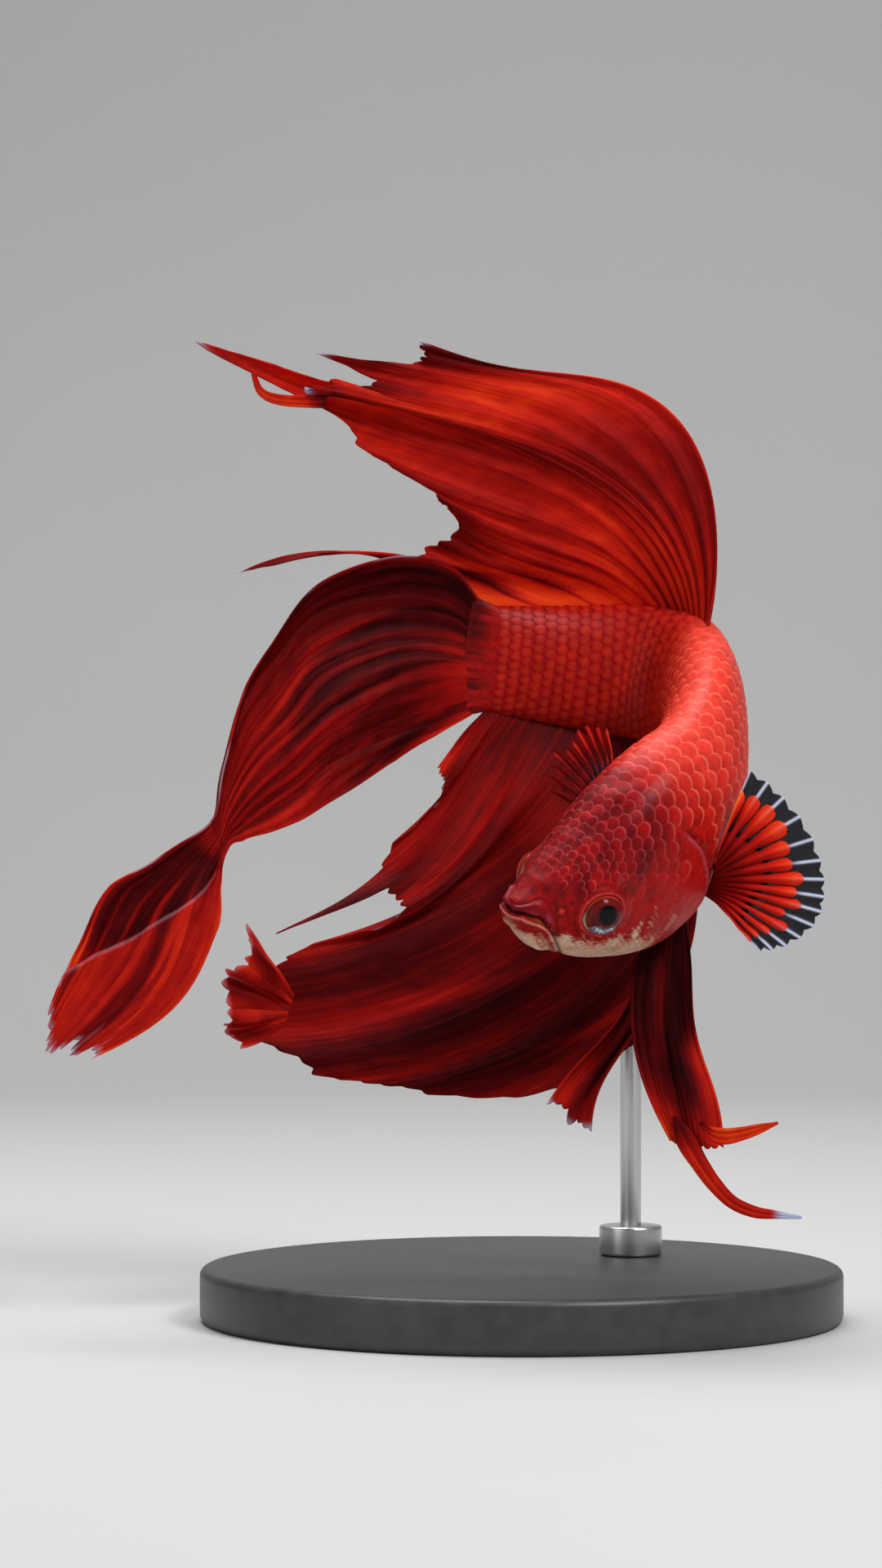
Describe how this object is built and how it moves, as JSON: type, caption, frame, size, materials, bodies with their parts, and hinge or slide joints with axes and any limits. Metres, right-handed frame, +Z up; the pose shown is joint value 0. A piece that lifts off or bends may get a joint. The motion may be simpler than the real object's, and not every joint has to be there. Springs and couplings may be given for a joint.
{
  "type": "betta fish",
  "caption": "Red long-finned betta fish caught in a turn, fins spread and trailing, as a still life-size model held by a rod on a round base.",
  "frame": {"origin": "middle of the underside of the stand's round base", "axes": "+Z up; the fish's tail half runs along +X to its bend, and its head turns back towards -X on the -Y side"},
  "size_m": [0.0594, 0.048, 0.0742],
  "materials": {
    "scaled_skin": "wet, satin, small overlapping scales in crimson to orange-red",
    "fin_web": "thin translucent web between fine darker rays, satin",
    "eye": "wet gloss, black pupil in a dark ringed iris",
    "stand_plinth": "satin black, plain",
    "stand_metal": "fine brushed"
  },
  "bodies": {
    "root": {"head": "scaled_skin", "trunk": "scaled_skin", "tail_trunk": "scaled_skin", "eye_left": "eye", "eye_right": "eye", "dorsal_fin": "fin_web", "dorsal_streamer": "fin_web", "anal_fin": "fin_web", "anal_fin_corner": "fin_web", "caudal_fin": "fin_web", "caudal_fin_lobe": "fin_web", "pectoral_fin_left": "fin_web", "pectoral_fin_right": "fin_web", "pelvic_fin_left": "fin_web", "pelvic_fin_left_streamer": "fin_web", "pelvic_fin_left_tip": "fin_web", "pelvic_fin_right": "fin_web", "stand_base": "stand_plinth", "stand_collar": "stand_metal", "stand_rod": "stand_metal"}
  },
  "joints": []
}
